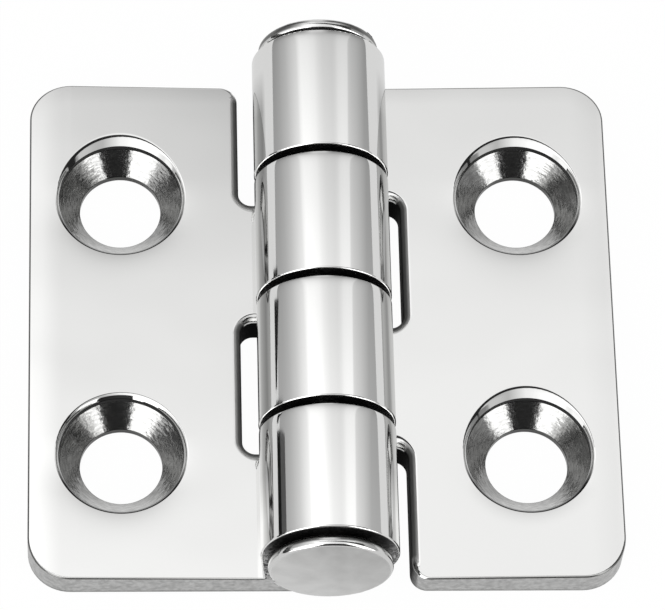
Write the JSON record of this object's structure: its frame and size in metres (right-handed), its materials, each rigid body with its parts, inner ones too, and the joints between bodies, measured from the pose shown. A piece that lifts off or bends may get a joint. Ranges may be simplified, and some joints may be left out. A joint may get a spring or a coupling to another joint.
{
  "type": "butt hinge",
  "caption": "Mirror-polished stainless butt hinge: flat leaves with countersunk screw holes and a raised barrel of interleaved knuckles turning on a domed-head pin.",
  "frame": {"origin": "on the plane of the leaves' backs, under the middle of the pin, hinge open flat", "axes": "+X from the pin to the right leaf's outer edge, +Y along the pin towards the right leaf's end knuckle, +Z out of the leaves' fronts"},
  "size_m": [0.053, 0.054, 0.0135],
  "materials": {
    "polished_stainless": "mirror polished cast stainless steel",
    "satin_stainless": "satin turned stainless steel"
  },
  "bodies": {
    "fixed_leaf": {"left_leaf": "polished_stainless", "hinge_pin": "satin_stainless"},
    "swinging_leaf": {"right_leaf": "polished_stainless"}
  },
  "joints": [
    {"name": "leaf_swing", "type": "hinge", "parent": "fixed_leaf", "child": "swinging_leaf", "pos_m": [0, 0, 0.0074], "axis": [0, -1, 0], "range_deg": [-85, 195]}
  ]
}
